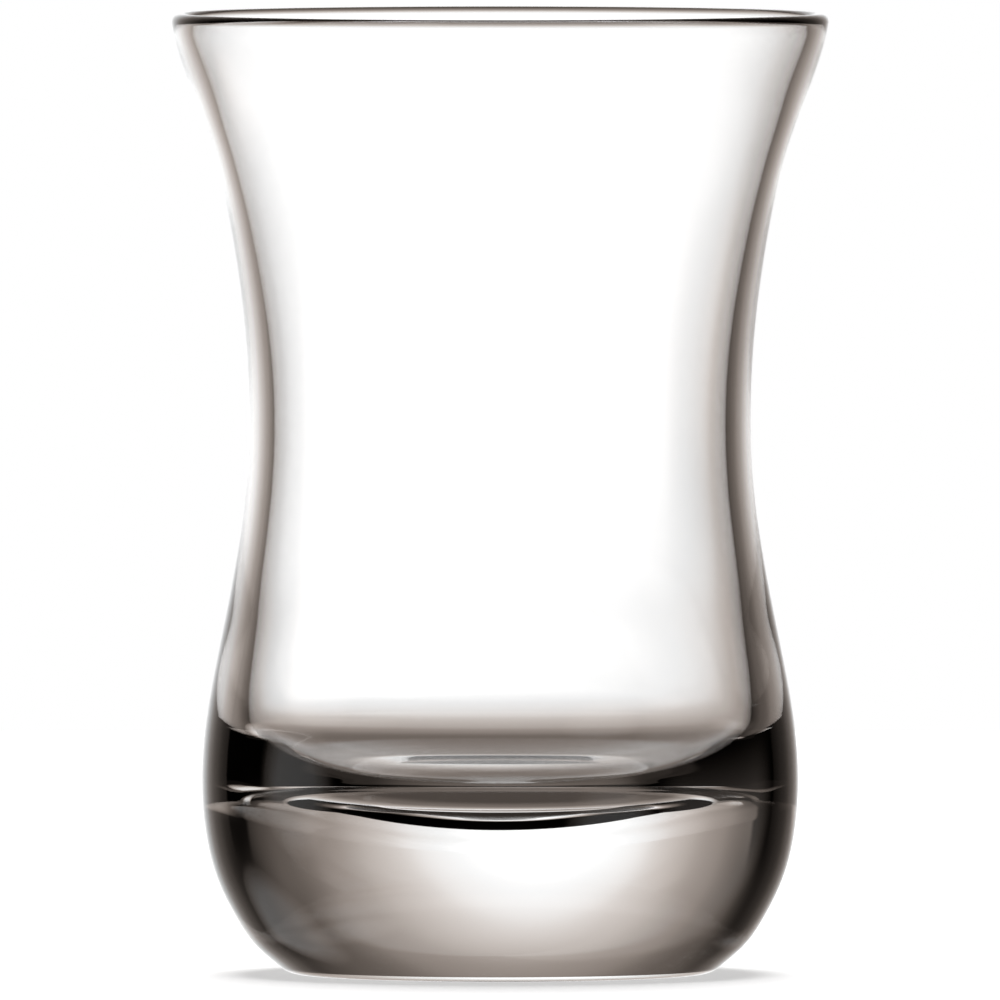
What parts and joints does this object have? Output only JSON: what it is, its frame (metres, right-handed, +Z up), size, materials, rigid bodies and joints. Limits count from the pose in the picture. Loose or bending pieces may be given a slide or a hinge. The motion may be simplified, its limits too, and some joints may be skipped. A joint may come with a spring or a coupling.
{
  "type": "turkish tea glass",
  "caption": "Small waisted drinking glass in clear glass, with a flared mouth, a rounded belly and a thick solid base; empty, it stands on its foot ring.",
  "frame": {"origin": "middle of the foot, on the surface that the glass stands on", "axes": "+Z up along the glass's axis, from the foot to the mouth; the glass is the same all round, so +X and +Y are free"},
  "size_m": [0.0602, 0.0602, 0.088],
  "materials": {
    "clear_glass": "fire-polished clear glass, smooth and without tint"
  },
  "bodies": {
    "root": {"glass": "clear_glass"}
  },
  "joints": []
}
